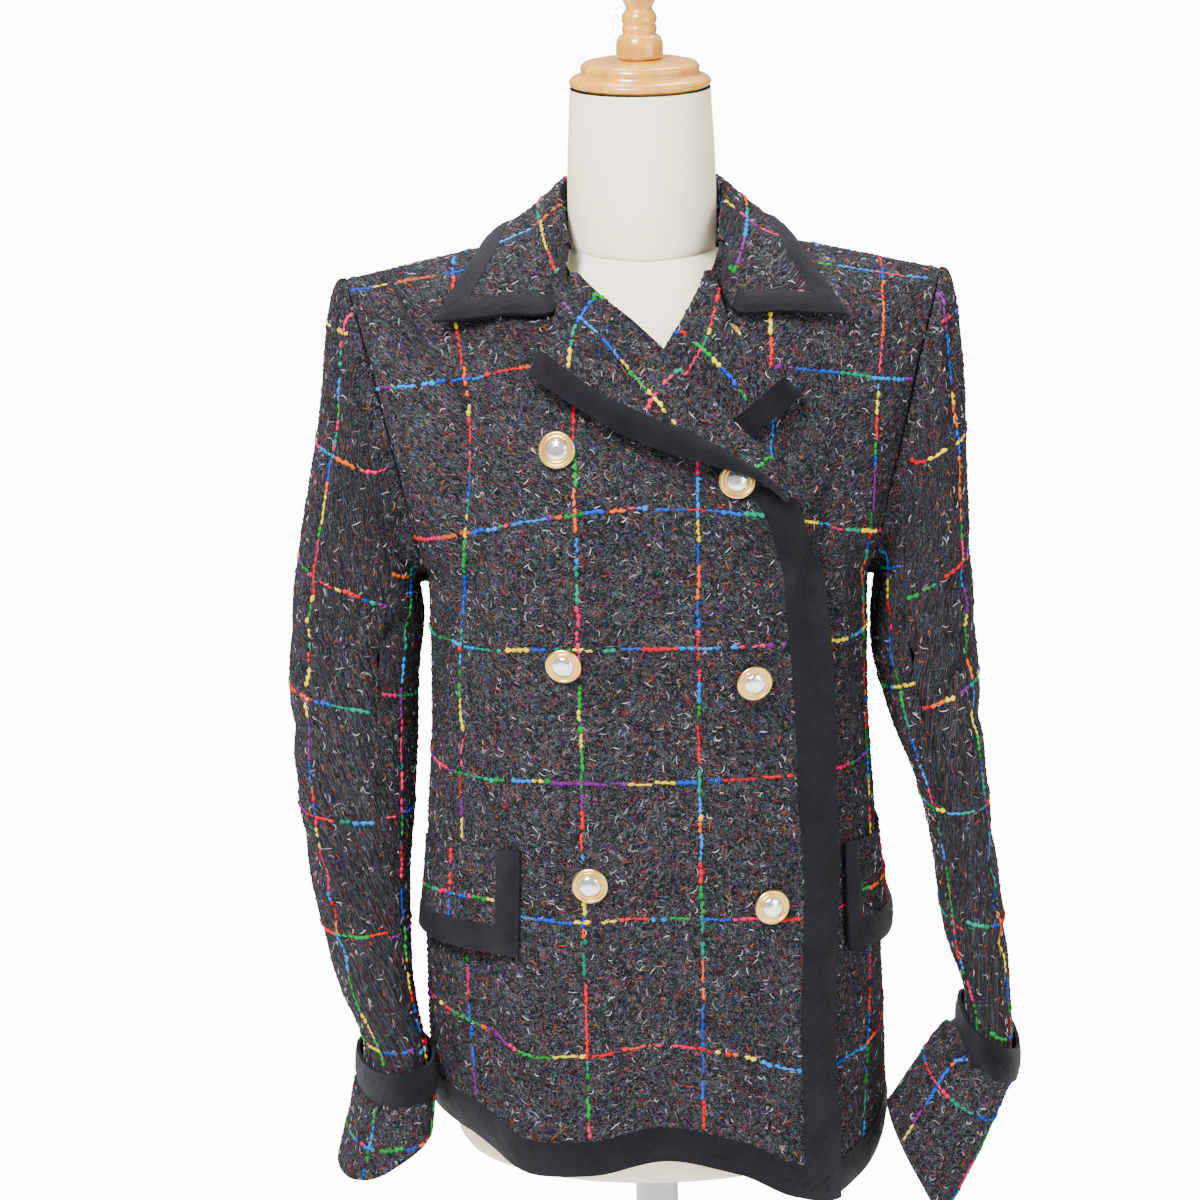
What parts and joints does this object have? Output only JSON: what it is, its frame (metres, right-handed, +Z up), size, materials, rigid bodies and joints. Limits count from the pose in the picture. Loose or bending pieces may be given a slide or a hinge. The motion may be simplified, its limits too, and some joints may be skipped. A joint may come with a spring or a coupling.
{
  "type": "double-breasted jacket on dress form",
  "caption": "Double-breasted tweed jacket with bound edges, notched lapels and turned-back cuffs, on a limbless dress form with a turned cap and a round foot.",
  "frame": {"origin": "centre of the foot's underside", "axes": "+Z up; the jacket's front faces -Y and the wearer's right arm is towards -X"},
  "size_m": [0.5352, 0.3, 1.0604],
  "materials": {
    "tweed": "boucle tweed with bright slubs in a window check",
    "binding": "plain satin weave",
    "gold": "polished, gold coloured",
    "crystal": "clear faceted, foil backed",
    "linen": "fine plain weave, ivory",
    "wood": "honey coloured, lacquered",
    "steel": "brushed"
  },
  "bodies": {
    "root": {"back_left": "tweed", "back_right": "tweed", "base": "steel", "button_chest_left": "gold", "button_chest_right": "gold", "button_inner": "gold", "button_low_left": "gold", "button_low_right": "gold", "button_waist_left": "gold", "button_waist_right": "gold", "collar": "tweed", "collar_binding": "binding", "cuff_binding_left": "binding", "cuff_binding_right": "binding", "cuff_left": "tweed", "cuff_right": "tweed", "edge_binding_right": "binding", "finial": "wood", "flap_binding_left": "binding", "flap_binding_right": "binding", "flap_left": "tweed", "flap_right": "tweed", "form_torso": "linen", "front_left": "tweed", "front_right": "tweed", "hem_binding_back_left": "binding", "hem_binding_back_right": "binding", "hem_binding_left": "binding", "lapel_binding_left": "binding", "lapel_binding_right": "binding", "lapel_left": "tweed", "lapel_right": "tweed", "neck_cap": "wood", "pole": "steel", "stone_chest_left": "crystal", "stone_chest_right": "crystal", "stone_low_left": "crystal", "stone_low_right": "crystal", "stone_waist_left": "crystal", "stone_waist_right": "crystal", "top_sleeve_left": "tweed", "top_sleeve_right": "tweed", "under_sleeve_left": "tweed", "under_sleeve_right": "tweed"}
  },
  "joints": []
}
